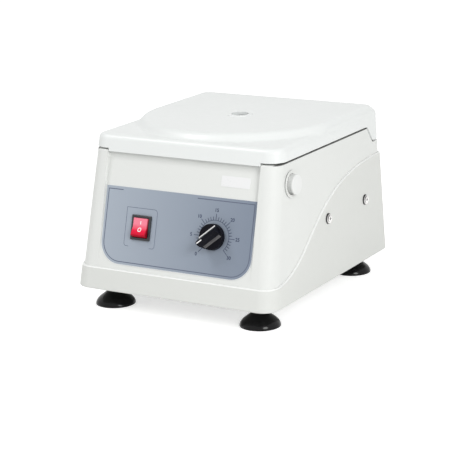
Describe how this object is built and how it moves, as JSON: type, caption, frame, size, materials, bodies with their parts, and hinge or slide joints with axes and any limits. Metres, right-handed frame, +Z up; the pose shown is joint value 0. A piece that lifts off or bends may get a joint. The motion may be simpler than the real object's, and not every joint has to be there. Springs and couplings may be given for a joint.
{
  "type": "benchtop centrifuge",
  "caption": "Small benchtop centrifuge: tapered casing with a leaning control panel, rocker switch and timer knob, hinged lid with a sight hole, side release button and suction feet.",
  "frame": {"origin": "on the bench, under the middle of the overall box", "axes": "+X to the user's right, -Y to the front with the panel, +Y to the hinge at the back, +Z up"},
  "size_m": [0.2506, 0.2951, 0.1998],
  "materials": {
    "shell": "fine satin moulding",
    "skirt": "fine satin moulding",
    "overlay": "printed film with darker lines and plain numbers",
    "label": "smooth",
    "rubber": "smooth moulded rubber",
    "bright_steel": "bright",
    "screws": "zinc plated",
    "sheet_steel": "drawn sheet",
    "spring_steel": "rolled strip",
    "motor_can": "dark enamel",
    "laminated_steel": "laminations",
    "rotor_aluminium": "fine turned",
    "liner": "satin",
    "window": "clear",
    "black_plastic": "moulded",
    "plated": "plated",
    "brass": "plain",
    "rocker_red": "clear red, lit from inside",
    "button": "satin moulding",
    "button_ring": "satin moulding"
  },
  "bodies": {
    "housing": {"button_bezel": "button_ring", "chassis_plate": "sheet_steel", "chassis_screws": "screws", "foot_front_left": "rubber", "foot_front_right": "rubber", "foot_rear_left": "rubber", "foot_rear_right": "rubber", "hinge_leaf_left": "sheet_steel", "hinge_leaf_right": "sheet_steel", "hinge_screws": "screws", "inlet_pins": "brass", "inlet_screws": "screws", "interlock_lever": "spring_steel", "interlock_switch": "black_plastic", "label_plate": "label", "latch_bracket": "sheet_steel", "latch_leaf": "spring_steel", "latch_screws": "screws", "lower_housing": "skirt", "motor_bearings": "laminated_steel", "motor_end_cap": "motor_can", "motor_housing": "motor_can", "motor_mounts": "rubber", "motor_screws": "screws", "motor_stator": "laminated_steel", "panel_overlay": "overlay", "power_inlet": "black_plastic", "rotor_bowl": "sheet_steel", "side_screws": "bright_steel", "side_washers": "bright_steel", "switch_frame": "black_plastic", "switch_terminals": "brass", "timer_body": "black_plastic", "timer_nut": "plated", "upper_housing": "shell"},
    "lid": {"lid_shell": "shell", "lid_liner": "liner", "liner_screws": "screws", "lid_gasket": "rubber", "sight_window": "window", "lid_striker": "sheet_steel", "lid_leaf_left": "sheet_steel", "lid_leaf_right": "sheet_steel", "lid_leaf_screws": "screws", "hinge_pins": "bright_steel"},
    "rotor": {"motor_shaft": "bright_steel", "motor_armature": "laminated_steel", "rotor_head": "rotor_aluminium", "rotor_nut": "rotor_aluminium", "tube_cushions": "rubber", "tube_sleeve_1": "rotor_aluminium", "tube_sleeve_2": "rotor_aluminium", "tube_sleeve_3": "rotor_aluminium", "tube_sleeve_4": "rotor_aluminium", "tube_sleeve_5": "rotor_aluminium", "tube_sleeve_6": "rotor_aluminium"},
    "timer_knob": {"timer_shaft": "plated", "timer_knob": "black_plastic"},
    "rocker": {"rocker": "rocker_red"},
    "release_button": {"release_button": "button"}
  },
  "joints": [
    {"name": "lid_hinge", "type": "hinge", "parent": "housing", "child": "lid", "pos_m": [0, 0.127, 0.169], "axis": [-1, 0, 0], "range_deg": [0, 80], "deforming": ["latch_leaf", "interlock_lever"]},
    {"name": "rotor_spin", "type": "hinge", "parent": "housing", "child": "rotor", "pos_m": [0, 0.017, 0.1], "axis": [0, 0, 1], "continuous": true},
    {"name": "timer_turn", "type": "hinge", "parent": "housing", "child": "timer_knob", "pos_m": [0.0469, -0.1268, 0.09578], "axis": [0, 0.965, -0.2622], "range_deg": [-5, 265]},
    {"name": "rocker_tilt", "type": "hinge", "parent": "housing", "child": "rocker", "pos_m": [-0.0451, -0.12637, 0.09546], "axis": [1, 0, 0], "range_deg": [0, 24]},
    {"name": "release_push", "type": "slide", "parent": "housing", "child": "release_button", "axis": [-0.999, 0, -0.0458], "range_m": [0, 0.004], "stiffness_N_per_m": 400, "deforming": ["latch_leaf"]}
  ]
}
